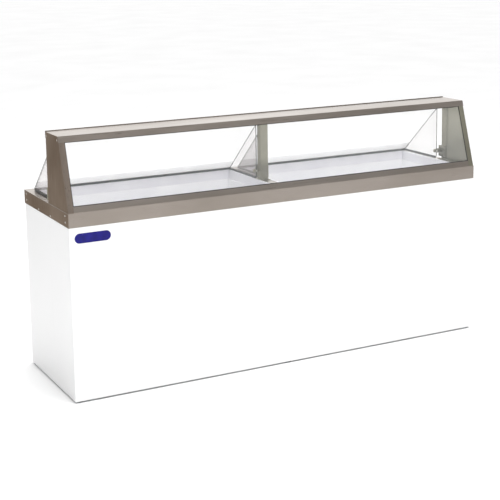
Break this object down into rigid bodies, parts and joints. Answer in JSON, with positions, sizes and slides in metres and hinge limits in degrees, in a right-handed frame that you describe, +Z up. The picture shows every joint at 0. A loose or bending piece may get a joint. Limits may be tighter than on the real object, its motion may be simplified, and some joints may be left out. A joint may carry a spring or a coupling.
{
  "type": "ice cream dipping cabinet",
  "caption": "Long chest freezer for scooping ice cream: two deep wells, stainless counter band, glass food-shield hood and two clear lids that swing up under it.",
  "frame": {"origin": "on the floor, below the middle of the cabinet", "axes": "+X along the counter to the machine end, +Y from the customer's side to the server's side, +Z up"},
  "size_m": [2.2352, 0.64, 1.222],
  "materials": {
    "white_paint": "gloss",
    "stainless": "brushed",
    "bright_fasteners": "polished",
    "galvanised": "satin",
    "liner": "satin",
    "white_plastic": "gloss",
    "nylon": "matte",
    "safety_glass": "gloss",
    "clear_acrylic": "gloss",
    "grey_seal": "satin",
    "black_rubber": "matte",
    "foam": "matte",
    "copper": "satin",
    "fins": "satin",
    "black_enamel": "satin",
    "zinc_steel": "satin",
    "grille_paint": "gloss",
    "black_plastic": "matte",
    "red_plastic": "gloss",
    "badge_blue": "gloss"
  },
  "bodies": {
    "cabinet": {"badge_plate": "badge_blue", "band_ends": "stainless", "band_front": "stainless", "band_rear": "stainless", "band_screws": "bright_fasteners", "base_frame": "galvanised", "cable_gland": "black_plastic", "canopy": "stainless", "centre_post": "stainless", "compressor": "black_enamel", "condenser": "fins", "control_recess": "galvanised", "counter_top": "stainless", "deck_plate": "galvanised", "drain_caps": "black_plastic", "drain_pipes": "nylon", "evaporators": "copper", "fan_motor": "black_enamel", "fan_shroud": "galvanised", "front_glass": "safety_glass", "front_panel": "white_paint", "glass_retainers": "stainless", "glazing_gasket": "black_rubber", "grille_screws": "bright_fasteners", "hinge_bracket_post": "stainless", "hinge_brackets": "stainless", "hood_end_left": "stainless", "hood_end_right": "stainless", "hood_screws": "bright_fasteners", "hood_sill": "stainless", "hood_stiffeners": "stainless", "insulation_foam": "foam", "levelling_glides": "zinc_steel", "machine_bulkhead": "galvanised", "pivot_knobs": "stainless", "rear_grille": "grille_paint", "rear_panel": "white_paint", "refrigerant_lines": "copper", "rubber_mounts": "black_rubber", "side_panels": "white_paint", "switch_housing": "black_plastic", "tank_left": "liner", "tank_right": "liner", "thermostat": "black_plastic", "well_collar_left": "white_plastic", "well_collar_right": "white_plastic"},
    "lid_left": {"lid_left_pane": "clear_acrylic", "lid_left_cheeks": "clear_acrylic", "lid_left_seal": "grey_seal", "lid_left_bushes": "nylon", "lid_left_grip": "white_plastic"},
    "lid_right": {"lid_right_pane": "clear_acrylic", "lid_right_cheeks": "clear_acrylic", "lid_right_seal": "grey_seal", "lid_right_bushes": "nylon", "lid_right_grip": "white_plastic"},
    "fan": {"fan_blade": "fins", "fan_shaft": "zinc_steel"},
    "thermostat_dial": {"thermostat_knob": "black_plastic"},
    "power_rocker": {"switch_rocker": "red_plastic"}
  },
  "joints": [
    {"name": "lid_left_hinge", "type": "hinge", "parent": "cabinet", "child": "lid_left", "pos_m": [-0.553, -0.035, 0.926], "axis": [1, 0, 0], "range_deg": [0, 65]},
    {"name": "lid_right_hinge", "type": "hinge", "parent": "cabinet", "child": "lid_right", "pos_m": [0.553, -0.035, 0.926], "axis": [1, 0, 0], "range_deg": [0, 65]},
    {"name": "fan_spin", "type": "hinge", "parent": "cabinet", "child": "fan", "pos_m": [0.786, 0.196, 0.2292], "axis": [0, 1, 0], "continuous": true},
    {"name": "thermostat_turn", "type": "hinge", "parent": "cabinet", "child": "thermostat_dial", "pos_m": [1.0428, 0.3047, 0.3308], "axis": [0, 1, 0], "range_deg": [0, 270]},
    {"name": "switch_rock", "type": "hinge", "parent": "cabinet", "child": "power_rocker", "pos_m": [1.0428, 0.2987, 0.2548], "axis": [1, 0, 0], "range_deg": [-16, 0]}
  ]
}
